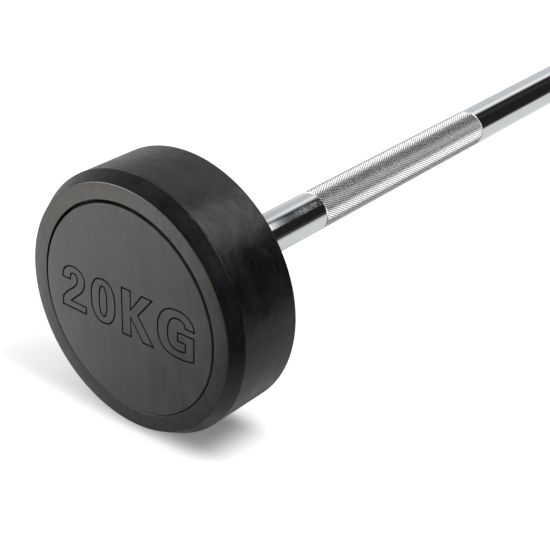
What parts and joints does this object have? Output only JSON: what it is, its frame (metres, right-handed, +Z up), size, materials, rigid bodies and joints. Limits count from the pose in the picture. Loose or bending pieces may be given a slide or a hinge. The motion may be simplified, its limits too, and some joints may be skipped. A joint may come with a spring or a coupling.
{
  "type": "fixed barbell",
  "caption": "Fixed-weight barbell: a chromed steel bar with knurled grips and a round rubber-covered iron head bolted on each end.",
  "frame": {"origin": "the middle of the bar's length, on the bar's axis", "axes": "+X along the bar towards the right head, +Z up; the barbell lies on the rims of both heads"},
  "size_m": [1.121, 0.1818, 0.1818],
  "materials": {
    "chrome": "polished",
    "casing_rubber": "satin",
    "cap_rubber": "matte",
    "core_iron": "matte",
    "zinc_steel": "satin",
    "black_steel": "satin"
  },
  "bodies": {
    "root": {"bar": "chrome", "left_head_casing": "casing_rubber", "left_head_core": "core_iron", "left_end_cap": "cap_rubber", "left_cap_plate": "zinc_steel", "left_end_bolt": "black_steel", "left_spring_washer": "zinc_steel", "left_plate_washer": "zinc_steel", "left_drive_key": "black_steel", "right_head_casing": "casing_rubber", "right_head_core": "core_iron", "right_end_cap": "cap_rubber", "right_cap_plate": "zinc_steel", "right_end_bolt": "black_steel", "right_spring_washer": "zinc_steel", "right_plate_washer": "zinc_steel", "right_drive_key": "black_steel"}
  },
  "joints": []
}
